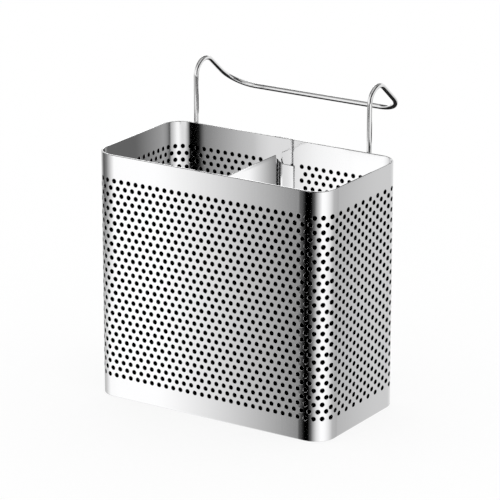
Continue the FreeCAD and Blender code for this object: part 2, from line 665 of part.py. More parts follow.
UPPER_WELD = "Sizes.body_height - Sizes.weld_inset - Sizes.weld_length"
LOWER_WELD = "Sizes.body_height - Sizes.leg_depth + Sizes.weld_inset"
hanger_welds = doc.addObject("Part::Compound", "hanger_welds")
hanger_welds.Label = "hanger_welds"
hanger_welds.Links = [
    weld_bead(leg, side, f"bead_{number}{level}", height)
    for number, (leg, side) in enumerate([(-1, -1), (-1, 1), (1, -1), (1, 1)])
    for level, height in (("a", UPPER_WELD), ("b", LOWER_WELD))
]

doc.recompute()

SUB_PARTS = [
    wall_front, wall_left, wall_right, wall_back_left, wall_back_right,
    corner_front_left, corner_front_right, corner_back_left, corner_back_right,
    base_pan, divider, hanger_wire, hanger_welds,
]
for item in doc.Objects:
    if "Invalid" in item.State or "Error" in item.State:
        raise RuntimeError(f"{item.Label} failed: {item.State}")
for item in SUB_PARTS:
    if item.Shape.isNull() or not item.Shape.isValid():
        raise RuntimeError(f"{item.Label} has no valid shape")

os.makedirs("parts", exist_ok=True)
for item in SUB_PARTS:
    item.Shape.exportStep(f"parts/{item.Label}.step")
    print(item.Label, "solids", len(item.Shape.Solids), "volume", round(item.Shape.Volume, 1))
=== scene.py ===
import math
import bmesh
import bpy
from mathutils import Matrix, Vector


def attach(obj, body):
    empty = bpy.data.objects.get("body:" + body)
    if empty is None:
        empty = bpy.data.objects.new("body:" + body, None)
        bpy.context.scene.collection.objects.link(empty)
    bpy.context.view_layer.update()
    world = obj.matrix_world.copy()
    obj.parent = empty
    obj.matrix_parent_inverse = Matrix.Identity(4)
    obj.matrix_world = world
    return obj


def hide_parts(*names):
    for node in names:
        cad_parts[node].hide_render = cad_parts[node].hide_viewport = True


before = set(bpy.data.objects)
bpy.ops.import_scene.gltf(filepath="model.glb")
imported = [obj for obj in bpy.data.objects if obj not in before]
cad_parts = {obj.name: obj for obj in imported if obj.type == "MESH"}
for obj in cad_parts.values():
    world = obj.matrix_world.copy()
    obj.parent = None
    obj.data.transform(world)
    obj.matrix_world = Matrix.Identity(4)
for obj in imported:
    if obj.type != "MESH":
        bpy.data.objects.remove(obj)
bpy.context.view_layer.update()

# The wall sheet: one strip of punched stainless steel, 1 mm thick, bent round four upright corners
# and lapped at the back. It is laid out flat here from one punched cell, its plain edges are drawn
# out from the punched field, and the finished strip is then wrapped round the body.
MM = 0.001
WIDTH = 160 * MM
DEPTH = 86 * MM
HEIGHT = 151 * MM
BEND = 13 * MM
GAUGE = 1 * MM
HOLE = 1.5 * MM
ROLL = 0.06 * MM
FRONT_END = WIDTH / 2 - BEND
SIDE_START = FRONT_END + BEND * math.pi / 2
SIDE_END = SIDE_START + DEPTH - 2 * BEND
BACK_START = SIDE_END + BEND * math.pi / 2
BACK_MIDDLE = BACK_START + FRONT_END
STEP = 2.55 * MM
ROW = 4.33 * MM
ROWS = 29
ODD_ROWS = ROWS // 2 + 1
EVEN_ROWS = ROWS // 2
PATTERN_DROP = 0.8 * MM
LOWEST = HEIGHT / 2 - PATTERN_DROP - (ROWS - 1) / 2 * ROW
FIELD_FOOT = LOWEST - ROW / 2
FIELD_TOP = LOWEST + (ROWS - 1) * ROW + ROW / 2
PATTERN_BORDER = 82.31 * MM
SMOOTH = math.radians(35)
FINE = 1e-6


def start_editing(piece):
    """Opens one piece in edit mode with nothing selected."""
    bpy.ops.object.select_all(action="DESELECT")
    piece.select_set(True)
    bpy.context.view_layer.objects.active = piece
    bpy.ops.object.mode_set(mode="EDIT")
    bpy.ops.mesh.select_mode(type="VERT")
    bpy.ops.mesh.select_all(action="DESELECT")


def stop_editing():
    """Closes edit mode and gives the piece that was open."""
    bpy.ops.object.mode_set(mode="OBJECT")
    return bpy.context.object


def choose(test):
    """Selects the vertices of the open piece that pass a test on their place, and nothing else."""
    shape = bmesh.from_edit_mesh(bpy.context.object.data)
    for vert in shape.verts:
        vert.select = test(vert.co)
    shape.select_flush_mode()
    bmesh.update_edit_mesh(bpy.context.object.data)


def move_chosen(place):
    """Moves each selected vertex of the open piece to where a function of its place says."""
    shape = bmesh.from_edit_mesh(bpy.context.object.data)
    for vert in shape.verts:
        if vert.select:
            vert.co = place(vert.co)
    bmesh.update_edit_mesh(bpy.context.object.data)


def punched_cell(half_length, half_width, stretch=1):
    """One punched hole with the steel round it: a rolled mouth, the bore and both faces."""
    bpy.ops.object.select_all(action="DESELECT")
    bpy.ops.mesh.primitive_circle_add(vertices=12, radius=HOLE + ROLL)
    cell = bpy.context.object
    sides = [(1, 0), (1, 0.5), (1, 1), (0, 1), (-1, 1), (-1, 0.5)]
    sides += [(-x, -y) for x, y in sides]

    def border(level):
        def place(spot):
            x, y = sides[round(math.atan2(spot.y, spot.x) / (math.pi / 6)) % 12]
            return Vector((x * half_length, y * half_width, level))
        return place

    def ring(radius, level):
        def place(spot):
            level_spot = Vector((spot.x, spot.y / stretch, 0)).normalized() * radius
            return Vector((level_spot.x, level_spot.y * stretch, level))
        return place

    start_editing(cell)
    bpy.ops.mesh.select_all(action="SELECT")
    bpy.ops.transform.resize(value=(1, stretch, 1))
    bpy.ops.mesh.extrude_edges_move()
    move_chosen(border(0))
    choose(lambda spot: math.hypot(spot.x, spot.y / stretch) < HOLE + ROLL + FINE)
    for place in (ring(HOLE, -ROLL), ring(HOLE, -GAUGE), border(-GAUGE)):
        bpy.ops.mesh.extrude_edges_move()
        move_chosen(place)
    return stop_editing()


def plain_cell(half_length, half_width):
    """A plain filling piece at the end of a row, with the same spots on its short sides as a cell."""
    bpy.ops.object.select_all(action="DESELECT")
    bpy.ops.mesh.primitive_grid_add(x_subdivisions=1, y_subdivisions=4, size=2)
    start_editing(bpy.context.object)
    bpy.ops.mesh.select_all(action="SELECT")
    move_chosen(lambda spot: Vector((spot.x * half_length, spot.y * half_width, 0)))
    bpy.ops.mesh.duplicate()
    bpy.ops.transform.translate(value=(0, 0, -GAUGE))
    return stop_editing()


def lay_out(cell, at, counts, pitches):
    """Repeats a cell in columns and rows, its first copy at a flat place."""
    for axis in (0, 1):
        repeat = cell.modifiers.new("repeat", "ARRAY")
        repeat.count = counts[axis]
        repeat.use_relative_offset = False
        repeat.use_constant_offset = True
        repeat.constant_offset_displace = [pitches[axis] if spot == axis else 0 for spot in range(3)]
        bpy.ops.object.modifier_apply(modifier=repeat.name)
    start_editing(cell)
    bpy.ops.mesh.select_all(action="SELECT")
    bpy.ops.transform.translate(value=(at[0], at[1], 0))
    return stop_editing()


def join_flat(name, cells):
    """Joins laid-out cells into one strip."""
    bpy.ops.object.select_all(action="DESELECT")
    for cell in cells:
        cell.select_set(True)
    bpy.context.view_layer.objects.active = cells[0]
    bpy.ops.object.join()
    strip = bpy.context.object
    strip.name = name
    return strip


def draw_out(test, moves):
    """Draws the border that passes a test out of the open strip, through one move after another."""
    choose(test)
    for move in moves:
        bpy.ops.mesh.extrude_edges_move()
        bpy.ops.transform.translate(value=move)


def roll_edge(field_end, rim, outwards):
    """Draws a field's upper or lower border out to the rim, over its softened edge and back inside."""
    soft, deburred, brim = 0.35 * MM, 0.2 * MM, 0.04 * MM
    arc = [math.radians(turn) for turn in (0, 30, 60, 90)]
    spots = [(2 * soft, 0)]
    spots += [(soft * (1 - math.sin(turn)), soft * (math.cos(turn) - 1)) for turn in arc]
    spots += [(0, -soft - brim), (0, deburred + brim - GAUGE)]
    spots += [
        (deburred * (1 - math.sin(turn)), deburred * (1 - math.cos(turn)) - GAUGE)
        for turn in reversed(arc)]
    spots += [(2 * deburred, -GAUGE)]
    spots = [(rim - outwards * short, level) for short, level in spots]
    spots.append((field_end, -GAUGE))
    moves = []
    height, level = field_end, 0
    for next_height, next_level in spots:
        moves.append((0, next_height - height, next_level - level))
        height, level = next_height, next_level
    draw_out(lambda spot: abs(spot.y - field_end) < FINE and abs(spot.z) < FINE, moves)


def close_end(length):
    """Closes the strip's cut end at a laid-out length."""
    choose(lambda spot: abs(spot.x - length) < FINE)
    bpy.ops.mesh.edge_face_add()


def wrapped(length, out):
    """Where a laid-out length lies round the body, (x, y)."""
    run = abs(length)
    side = math.copysign(1, length)
    centre = (FRONT_END, BEND - DEPTH / 2)
    if run <= FRONT_END:
        spot = (run, -DEPTH / 2 - out)
    elif run <= SIDE_START:
        turn = (run - FRONT_END) / BEND
    elif run <= SIDE_END:
        spot = (WIDTH / 2 + out, run - SIDE_START + BEND - DEPTH / 2)
    elif run <= BACK_START:
        turn = math.pi / 2 + (run - SIDE_END) / BEND
        centre = (FRONT_END, DEPTH / 2 - BEND)
    else:
        spot = (FRONT_END - (run - BACK_START), DEPTH / 2 + out)
    if FRONT_END < run <= SIDE_START or SIDE_END < run <= BACK_START:
        spot = (centre[0] + (BEND + out) * math.sin(turn), centre[1] - (BEND + out) * math.cos(turn))
    return side * spot[0], spot[1]


def facing(length):
    """The sheet's along and outward directions at a laid-out length. It eases into its front bends."""
    turn = 0
    for bend_line, ease in ((FRONT_END, 2.5 * MM), (SIDE_END, 0)):
        share = (abs(length) - bend_line + ease) / (BEND * math.pi / 2 + 2 * ease)
        turn += math.pi / 2 * max(0, min(1, share))
    side = math.copysign(1, length)
    along = Vector((math.cos(turn), side * math.sin(turn), 0))
    outward = Vector((side * math.sin(turn), -math.cos(turn), 0))
    return along, outward


def wrap_round(strip):
    """Bends a finished flat strip round the body, and its surface directions with it."""
    start_editing(strip)
    bpy.ops.mesh.select_all(action="SELECT")
    bpy.ops.mesh.remove_doubles(threshold=2 * FINE)
    bpy.ops.mesh.normals_make_consistent(inside=False)
    stop_editing()
    bpy.ops.object.shade_smooth_by_angle(angle=SMOOTH)
    mesh = strip.data
    turned = [facing(vert.co.x) for vert in mesh.vertices]
    directions = []
    for loop, corner in zip(mesh.loops, mesh.corner_normals):
        flat = corner.vector
        along, outward = turned[loop.vertex_index]
        directions.append(along * flat.x + Vector((0, 0, flat.y)) + outward * flat.z)
    for vert in mesh.vertices:
        vert.co = (*wrapped(vert.co.x, vert.co.z), vert.co.y)
    mesh.update()
    mesh.normals_split_custom_set(directions)


def main_pattern(first_odd, first_even, columns):
    """The staggered cells of the main pattern: the odd rows of one set of columns, the even of the other."""
    pitches = (2 * STEP, 2 * ROW)
    return [
        lay_out(punched_cell(STEP, ROW / 2), (first_odd, LOWEST), (columns, ODD_ROWS), pitches),
        lay_out(punched_cell(STEP, ROW / 2), (first_even, LOWEST + ROW), (columns, EVEN_ROWS), pitches),
    ]


# The front, the left side and the left half of the back: the main pattern of round holes, punched in
# columns from near the front's middle. The sheet ends in a cut edge at the back.
PATTERN_SHIFT = -1 * MM
LEFT_STEPS = 85
MAIN_COLUMNS = 59
SEAM_X = 4.1 * MM
CUT_EDGE = -(BACK_MIDDLE + SEAM_X)
main_first_odd = PATTERN_SHIFT - LEFT_STEPS * STEP
main_left = main_first_odd - STEP
main_right_odd = main_first_odd + (2 * MAIN_COLUMNS - 1) * STEP
cells = main_pattern(main_first_odd, main_first_odd + STEP, MAIN_COLUMNS)
cells.append(lay_out(
    plain_cell(STEP / 2, ROW / 2), (main_left + STEP / 2, LOWEST + ROW), (1, EVEN_ROWS), (0, 2 * ROW)))
border_half = (PATTERN_BORDER - main_right_odd) / 2
cells.append(lay_out(
    plain_cell(border_half, ROW / 2), (main_right_odd + border_half, LOWEST), (1, ODD_ROWS), (0, 2 * ROW)))
wall_main = join_flat("wall_main_sheet", cells)
start_editing(wall_main)
choose(lambda spot: spot.x > PATTERN_BORDER)
move_chosen(lambda spot: Vector((PATTERN_BORDER, spot.y, spot.z)))
bpy.ops.mesh.select_all(action="SELECT")
bpy.ops.mesh.remove_doubles(threshold=2 * FINE)
roll_edge(FIELD_TOP, HEIGHT, 1)
roll_edge(FIELD_FOOT, 0, -1)
bpy.ops.mesh.select_all(action="SELECT")
bpy.ops.mesh.remove_doubles(threshold=2 * FINE)
draw_out(lambda spot: abs(spot.x - main_left) < FINE, [(CUT_EDGE - main_left, 0, 0)])
close_end(CUT_EDGE)
close_end(PATTERN_BORDER)
stop_editing()
wrap_round(wall_main)
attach(wall_main, "root")
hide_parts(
    "wall_front", "corner_front_left", "corner_front_right", "wall_left",
    "corner_back_left", "wall_back_left")

# The right side: the same sheet with another pattern, punched in upright columns from the front corner to
# the back corner. Its holes are a little wider than they are high.
SIDE_COLUMN = 4.12 * MM
SIDE_COLUMNS = 20
SIDE_ROWS = 39
SIDE_ROW = (ROWS - 1) * ROW / (SIDE_ROWS - 1)
SIDE_LEAD = 3.4 * MM
OVAL = 1.25
BACK_STEPS = 65
BACK_BORDER = BACK_STEPS * STEP - PATTERN_SHIFT
first_side = SIDE_START - SIDE_LEAD
second_side = first_side + SIDE_COLUMN
side_end = first_side + (SIDE_COLUMNS - 0.5) * SIDE_COLUMN
side_pairs = SIDE_COLUMNS // 2
side_pitches = (2 * SIDE_ROW, 2 * SIDE_COLUMN)
cells = [
    lay_out(
        punched_cell(SIDE_ROW, SIDE_COLUMN / 2, OVAL), (LOWEST, first_side),
        (SIDE_ROWS // 2 + 1, side_pairs), side_pitches),
    lay_out(
        punched_cell(SIDE_ROW, SIDE_COLUMN / 2, OVAL), (LOWEST + SIDE_ROW, second_side),
        (SIDE_ROWS // 2, side_pairs), side_pitches),
    lay_out(
        plain_cell(SIDE_ROW / 2, SIDE_COLUMN / 2), (LOWEST - SIDE_ROW / 2, second_side),
        (2, side_pairs), (SIDE_ROWS * SIDE_ROW, 2 * SIDE_COLUMN)),
]
wall_side = join_flat("wall_right_sheet", cells)
start_editing(wall_side)
bpy.ops.mesh.select_all(action="SELECT")
move_chosen(lambda spot: Vector((max(spot.y, PATTERN_BORDER), spot.x, spot.z)))
bpy.ops.mesh.remove_doubles(threshold=2 * FINE)
roll_edge(LOWEST + SIDE_ROWS * SIDE_ROW, HEIGHT, 1)
roll_edge(LOWEST - SIDE_ROW, 0, -1)
bpy.ops.mesh.select_all(action="SELECT")
bpy.ops.mesh.remove_doubles(threshold=2 * FINE)
plain_run = (BACK_BORDER - side_end) / 2
draw_out(lambda spot: abs(spot.x - side_end) < FINE, [(plain_run, 0, 0), (plain_run, 0, 0)])
close_end(PATTERN_BORDER)
close_end(BACK_BORDER)
stop_editing()
wrap_round(wall_side)
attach(wall_side, "root")
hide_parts("wall_right", "corner_back_right")

# The right half of the back: the main pattern again, mirrored. The end of the sheet steps outwards by one
# thickness and laps behind the cut edge of the left half.
LAP_COLUMNS = 11
SEAM_GAP = 0.3 * MM
LAP_WIDTH = 12 * MM
LAP_EDGE = BACK_MIDDLE - SEAM_X + LAP_WIDTH
STEP_OUT = 1.05 * MM
STEP_BEND = 1.5 * MM
cells = main_pattern(BACK_BORDER + 2 * STEP, BACK_BORDER + STEP, LAP_COLUMNS)
lap_field_end = BACK_BORDER + (2 * LAP_COLUMNS + 1) * STEP
cells.append(lay_out(
    plain_cell(STEP / 2, ROW / 2), (BACK_BORDER + STEP / 2, LOWEST), (1, ODD_ROWS), (0, 2 * ROW)))
cells.append(lay_out(
    plain_cell(STEP / 2, ROW / 2), (lap_field_end - STEP / 2, LOWEST + ROW), (1, EVEN_ROWS), (0, 2 * ROW)))
wall_lap = join_flat("wall_lap_sheet", cells)
start_editing(wall_lap)
bpy.ops.mesh.select_all(action="SELECT")
bpy.ops.mesh.remove_doubles(threshold=2 * FINE)
roll_edge(FIELD_TOP, HEIGHT, 1)
roll_edge(FIELD_FOOT, 0, -1)
bpy.ops.mesh.select_all(action="SELECT")
bpy.ops.mesh.remove_doubles(threshold=2 * FINE)
step_turn = math.acos(1 - STEP_OUT / (2 * STEP_BEND))
step_run = 2 * STEP_BEND * math.sin(step_turn)
step_start = BACK_MIDDLE - SEAM_X - SEAM_GAP - step_run
step_spots = [(0, 0)]
for share in (0.25, 0.5, 0.75, 1):
    step_spots.append((
        STEP_BEND * math.sin(step_turn * share), STEP_BEND * (1 - math.cos(step_turn * share))))
step_spots += [(step_run - run, STEP_OUT - out) for run, out in reversed(step_spots[:-1])]
end_moves = [(step_start - lap_field_end, 0, 0)]
for here, there in zip(step_spots, step_spots[1:]):
    end_moves.append((there[0] - here[0], 0, there[1] - here[1]))
end_moves.append((LAP_EDGE - step_start - step_run, 0, 0))
draw_out(lambda spot: abs(spot.x - lap_field_end) < FINE, end_moves)
close_end(BACK_BORDER)
close_end(LAP_EDGE)
stop_editing()
wrap_round(wall_lap)
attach(wall_lap, "root")
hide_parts("wall_back_right")


# The wall's finish: rolled stainless steel with a satin polish. Its grain is drawn upright and hardly
# felt, and the polish is a little smeared.
class Reading:
    """A value that varies over a surface. Sums on it add Math nodes to its material."""

    def __init__(self, socket):
        self.socket = socket

    def joined(self, operation, first, second):
        """Joins two values, varying or plain, in one Math node."""
        tree = self.socket.id_data
        node = tree.nodes.new("ShaderNodeMath")
        node.operation = operation
        for place, value in zip(node.inputs, (first, second)):
            if isinstance(value, Reading):
                tree.links.new(value.socket, place)
            else:
                place.default_value = value
        return Reading(node.outputs[0])

    def __add__(self, other):
        return self.joined("ADD", self, other)

    def __sub__(self, other):
        return self.joined("SUBTRACT", self, other)

    def __rsub__(self, other):
        return self.joined("SUBTRACT", other, self)

    def __mul__(self, other):
        return self.joined("MULTIPLY", self, other)

    __radd__ = __add__
    __rmul__ = __mul__


class Finish:
    """A procedural finish under construction."""

    def __init__(self, tree):
        self.tree = tree
        self.tree.nodes.clear()

    def node(self, kind, settings=None, sockets=None, output=0):
        """Adds a node: its settings first, then the values or links of its sockets."""
        node = self.tree.nodes.new(kind)
        for name, value in (settings or {}).items():
            if name == "stops":
                stops = node.color_ramp.elements
                while len(stops) < len(value):
                    stops.new(0.5)
                for stop, (position, shade) in zip(stops, value):
                    stop.position = position
                    stop.color = (shade, shade, shade, 1)
            else:
                setattr(node, name, value)
        for name, value in (sockets or {}).items():
            if isinstance(value, Reading):
                self.tree.links.new(value.socket, node.inputs[name])
            else:
                node.inputs[name].default_value = value
        return Reading(node.outputs[output]) if node.outputs else node


def steel(name, colour, roughness, grain_scale, grain_depth):
    """Stainless steel: rolled colour, a fine drawn grain and a few smears in its polish."""
    material = bpy.data.materials.new(name)
    material.use_nodes = True
    finish = Finish(material.node_tree)
    place = finish.node("ShaderNodeTexCoord", output="Object")
    drawn = finish.node("ShaderNodeMapping", sockets={"Vector": place, "Scale": grain_scale})
    grain = finish.node("ShaderNodeTexNoise", sockets={
        "Vector": drawn, "Scale": 1.0, "Detail": 3.0, "Roughness": 0.6})
    smear = finish.node("ShaderNodeTexNoise", sockets={
        "Vector": place, "Scale": 35.0, "Detail": 4.0, "Roughness": 0.55})
    tone = finish.node("ShaderNodeMix", {"data_type": "RGBA"}, {
        0: smear, 6: (*[shade * 0.96 for shade in colour], 1), 7: (*colour, 1)}, output=2)
    rough = (grain - 0.5) * 0.04 + (smear - 0.5) * 0.04 + roughness
    relief = finish.node("ShaderNodeBump", sockets={
        "Height": grain, "Strength": grain_depth, "Distance": 0.0001})
    shader = finish.node("ShaderNodeBsdfPrincipled", sockets={
        "Base Color": tone, "Metallic": 1.0, "Roughness": rough, "Normal": relief})
    finish.node("ShaderNodeOutputMaterial", sockets={"Surface": shader})
    return material


def paint(piece, material):
    """Gives a piece one finish all over."""
    piece.data.materials.clear()
    piece.data.materials.append(material)


wall_steel = steel("satin_wall_steel", (0.76, 0.76, 0.765), 0.1, (900, 900, 30), 0.03)
for piece in (wall_main, wall_side, wall_lap):
    paint(piece, wall_steel)

# The base pan: a tray pressed from thinner sheet, flush with the wall's foot, with a lip turned up
# inside the wall and staggered drain holes either side of the divider.
PAN_INSET = GAUGE + 0.1 * MM
PAN_WIDTH = WIDTH - 2 * PAN_INSET
PAN_DEPTH = DEPTH - 2 * PAN_INSET
PAN_BEND = 2 * MM
PAN_GAUGE = 0.8 * MM
LIP = 9 * MM
DRAIN = 2 * MM
DRAIN_PITCH = 11 * MM
DRAIN_MARGIN = 12 * MM
MIDDLE = -4 * MM
PLATE = 0.8 * MM
bpy.ops.object.select_all(action="DESELECT")
bpy.ops.mesh.primitive_plane_add(size=1)
pan = bpy.context.object
pan.name = "drained_pan"
start_editing(pan)
bpy.ops.mesh.select_all(action="SELECT")
bpy.ops.transform.resize(value=(PAN_WIDTH, PAN_DEPTH, 1))
bpy.ops.mesh.bevel(
    offset=BEND - PAN_INSET, offset_type="OFFSET", segments=12, affect="VERTICES", clamp_overlap=False)
bpy.ops.mesh.extrude_region_move()
bpy.ops.transform.translate(value=(0, 0, LIP))
bpy.ops.mesh.delete(type="ONLY_FACE")
choose(lambda spot: spot.z < FINE)
bpy.ops.mesh.bevel(offset=PAN_BEND, offset_type="OFFSET", segments=5, affect="EDGES", clamp_overlap=False)
bpy.ops.mesh.select_all(action="SELECT")
bpy.ops.mesh.normals_make_consistent(inside=False)
stop_editing()
wall = pan.modifiers.new("gauge", "SOLIDIFY")
wall.thickness = PAN_GAUGE
wall.offset = -1
wall.use_even_offset = True
bpy.ops.object.modifier_apply(modifier=wall.name)
bpy.ops.object.select_all(action="DESELECT")
bpy.ops.mesh.primitive_cylinder_add(vertices=20, radius=DRAIN, depth=4 * PAN_GAUGE, end_fill_type="NGON")
drains = bpy.context.object
drain_sets = []
for low, high in ((GAUGE - WIDTH / 2, MIDDLE - PLATE / 2), (MIDDLE + PLATE / 2, WIDTH / 2 - GAUGE)):
    for stagger in (0, 1):
        across = math.floor((high - low - 2 * DRAIN_MARGIN) / DRAIN_PITCH) + 1 - stagger
        deep = math.floor((DEPTH - 2 * GAUGE - 2 * DRAIN_MARGIN) / DRAIN_PITCH) + 1 - stagger
        bpy.ops.object.select_all(action="DESELECT")
        drains.select_set(True)
        bpy.context.view_layer.objects.active = drains
        bpy.ops.object.duplicate()
        corner = ((low + high) / 2 - (across - 1) / 2 * DRAIN_PITCH, -(deep - 1) / 2 * DRAIN_PITCH)
        drain_sets.append(lay_out(
            bpy.context.object, corner, (across, deep), (DRAIN_PITCH, DRAIN_PITCH)))
drain_punch = join_flat("drain_punch", drain_sets)
bpy.ops.object.select_all(action="DESELECT")
pan.select_set(True)
bpy.context.view_layer.objects.active = pan
punch = pan.modifiers.new("drains", "BOOLEAN")
punch.object = drain_punch
punch.operation = "DIFFERENCE"
bpy.ops.object.modifier_apply(modifier=punch.name)
bpy.data.objects.remove(drain_punch)
bpy.data.objects.remove(drains)
bpy.ops.object.shade_smooth_by_angle(angle=SMOOTH)
paint(pan, steel("mill_pan_steel", (0.70, 0.70, 0.70), 0.28, (40, 900, 900), 0.05))
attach(pan, "root")
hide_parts("base_pan")

# The divider: one plate folded at both ends, spot-welded to the wall by its flanges. The flanges stop
# short of the plate's top edge and above the pan's lip.
PLATE_TOP = 141 * MM
FLANGE_TOP = 135 * MM
FLANGE_FOOT = LIP + 0.6 * MM
FLANGE_EDGE = MIDDLE + 10.6 * MM
BEND_TOP = 139 * MM
FOLD = 3.4 * MM
FOLD_X = MIDDLE + FOLD
FOLD_Y = DEPTH / 2 - GAUGE - PLATE / 2 - FOLD
bpy.ops.object.select_all(action="DESELECT")
bpy.ops.mesh.primitive_grid_add(x_subdivisions=1, y_subdivisions=3, size=2)
plate = bpy.context.object
plate.name = "divider_plate"
start_editing(plate)
bpy.ops.mesh.select_all(action="SELECT")
levels = [PAN_GAUGE, FLANGE_FOOT, BEND_TOP, PLATE_TOP]
move_chosen(lambda spot: Vector((MIDDLE, spot.x * FOLD_Y, levels[round((spot.y + 1) * 1.5)])))
for end in (-1, 1):
    choose(lambda spot: (
        abs(spot.y - end * FOLD_Y) < FINE and FLANGE_FOOT - FINE < spot.z < BEND_TOP + FINE))
    bpy.ops.mesh.spin(
        steps=10, angle=math.pi / 2, center=(FOLD_X, end * FOLD_Y, 0), axis=(0, 0, end))
    bpy.ops.mesh.extrude_edges_move()
    bpy.ops.transform.translate(value=(FLANGE_EDGE - FOLD_X, 0, 0))


def trimmed(spot):
    """The relief at the top of a bend, which curves down from the plate to the flange's top."""
    left = max(0, 1 - (spot.x - MIDDLE) / FOLD)
    return Vector((spot.x, spot.y, FLANGE_TOP + (BEND_TOP - FLANGE_TOP) * left ** 2))


choose(lambda spot: spot.x > MIDDLE + FINE and spot.z > FLANGE_TOP)
move_chosen(trimmed)
bpy.ops.mesh.select_all(action="SELECT")
bpy.ops.mesh.remove_doubles(threshold=FINE)
bpy.ops.mesh.normals_make_consistent(inside=False)
stop_editing()
wall = plate.modifiers.new("gauge", "SOLIDIFY")
wall.thickness = PLATE
wall.offset = 0
wall.use_even_offset = True
bpy.ops.object.modifier_apply(modifier=wall.name)
edge = plate.modifiers.new("deburred", "BEVEL")
edge.width = 0.15 * MM
edge.segments = 2
edge.limit_method = "ANGLE"
edge.angle_limit = math.radians(60)
bpy.ops.object.modifier_apply(modifier=edge.name)
bpy.ops.object.shade_smooth_by_angle(angle=SMOOTH)
paint(plate, steel("satin_divider_steel", (0.74, 0.74, 0.745), 0.12, (900, 900, 30), 0.03))
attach(plate, "root")
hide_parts("divider")

# The hanger: one drawn wire. Each leg stands against the back wall, rises into a hook that turns back
# and falls, and bends inwards into the crossbar. One half is drawn and the other mirrors it.
WIRE = 1.5 * MM
LEG_X = 61 * MM
LEG_Y = DEPTH / 2 + WIRE
LEG_FOOT = HEIGHT - 46 * MM
HOOK_START = HEIGHT + 28 * MM
HOOK_BEND = 9.8 * MM
BAR_BEND = 17 * MM
FALL = math.radians(39)
BAR_Y = LEG_Y + 40.5 * MM
hook_y = LEG_Y + HOOK_BEND * (1 + math.sin(FALL))
hook_z = HOOK_START + HOOK_BEND * math.cos(FALL)
bar_z = hook_z - (BAR_Y - hook_y) * math.tan(FALL)
falling = Vector((0, math.cos(FALL), -math.sin(FALL)))
bpy.ops.object.select_all(action="DESELECT")
bpy.ops.mesh.primitive_circle_add(vertices=24, radius=WIRE, fill_type="NGON")
hanger = bpy.context.object
hanger.name = "bent_hanger"
start_editing(hanger)
bpy.ops.mesh.select_all(action="SELECT")
bpy.ops.transform.translate(value=(LEG_X, LEG_Y, LEG_FOOT))
bpy.ops.mesh.extrude_region_move()
bpy.ops.transform.translate(value=(0, 0, HOOK_START - LEG_FOOT))
bpy.ops.mesh.spin(
    steps=20, angle=math.pi / 2 + FALL, center=(LEG_X, LEG_Y + HOOK_BEND, HOOK_START), axis=(1, 0, 0))
bpy.ops.mesh.extrude_region_move()
bar_corner = Vector((LEG_X, BAR_Y, bar_z))
bend_start = bar_corner - falling * BAR_BEND
bpy.ops.transform.translate(value=bend_start - Vector((LEG_X, hook_y, hook_z)))
bend_axis = Vector((-1, 0, 0)).cross(falling)
bpy.ops.mesh.spin(
    steps=20, angle=math.pi / 2, center=bend_start + Vector((-BAR_BEND, 0, 0)), axis=bend_axis)
bpy.ops.mesh.extrude_region_move()
bpy.ops.transform.translate(value=(BAR_BEND - LEG_X, 0, 0))
bpy.ops.mesh.delete(type="ONLY_FACE")
stop_editing()
half = hanger.modifiers.new("other_half", "MIRROR")
half.use_clip = True
half.merge_threshold = FINE
bpy.ops.object.modifier_apply(modifier=half.name)
start_editing(hanger)
bpy.ops.mesh.select_all(action="SELECT")
bpy.ops.transform.translate(value=(MIDDLE, 0, 0))
bpy.ops.mesh.remove_doubles(threshold=FINE)
bpy.ops.mesh.normals_make_consistent(inside=False)
stop_editing()
bpy.ops.object.shade_smooth_by_angle(angle=SMOOTH)
paint(hanger, steel("bright_drawn_wire", (0.80, 0.80, 0.80), 0.12, (700, 700, 20), 0.03))
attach(hanger, "root")
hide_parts("hanger_wire")

# The welds: two short rippled beads on each side of each leg, laid in the groove between the wire and
# the wall and brushed clean.
WELD = 1.1 * MM
WELD_LENGTH = 7 * MM
WELD_INSET = 6 * MM + WELD_LENGTH / 2
WELD_DEPTH = 0.05 * MM
RIPPLES = 7
bpy.ops.object.select_all(action="DESELECT")
bpy.ops.mesh.primitive_uv_sphere_add(segments=14, ring_count=18, radius=1)
bead = bpy.context.object
start_editing(bead)
bpy.ops.mesh.select_all(action="SELECT")


def rippled(spot):
    """A bead's surface: a rod with full ends, rippled along its length and flat on the wall."""
    along = math.asin(max(-1, min(1, spot.z))) / (math.pi / 2)
    girth = (1 - along ** 4) ** 0.5 * (1 + 0.1 * math.cos(along * RIPPLES * math.pi))
    level = math.hypot(spot.x, spot.y) or 1
    x, y = spot.x / level * girth * WELD, spot.y / level * girth * WELD
    if abs(spot.z) > 1 - FINE:
        x = y = 0
    return Vector((x, max(y, -WELD_DEPTH), along * WELD_LENGTH / 2))


move_chosen(rippled)
bpy.ops.transform.translate(value=(0, DEPTH / 2, 0))
stop_editing()
beads = []
for leg in (-1, 1):
    for side in (-1, 1):
        for middle in (HEIGHT - WELD_INSET, LEG_FOOT + WELD_INSET):
            bpy.ops.object.select_all(action="DESELECT")
            bead.select_set(True)
            bpy.context.view_layer.objects.active = bead
            bpy.ops.object.duplicate()
            start_editing(bpy.context.object)
            bpy.ops.mesh.select_all(action="SELECT")
            bpy.ops.transform.translate(value=(MIDDLE + leg * LEG_X + side * WIRE, 0, middle))
            beads.append(stop_editing())
bpy.data.objects.remove(bead)
welds = join_flat("weld_beads", beads)
bpy.ops.object.shade_smooth_by_angle(angle=math.radians(60))
paint(welds, steel("brushed_weld_metal", (0.60, 0.59, 0.58), 0.35, (300, 300, 300), 0.15))
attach(welds, "root")
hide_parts("hanger_welds")

# The studio's floor: plain, white and partly glowing, so that it meets the white ground behind and still
# takes the basket's soft shadow. It is clear from below.
def stage_finish(name):
    """An empty material for a stage piece."""
    material = bpy.data.materials.new(name)
    material.use_nodes = True
    return material, Finish(material.node_tree)


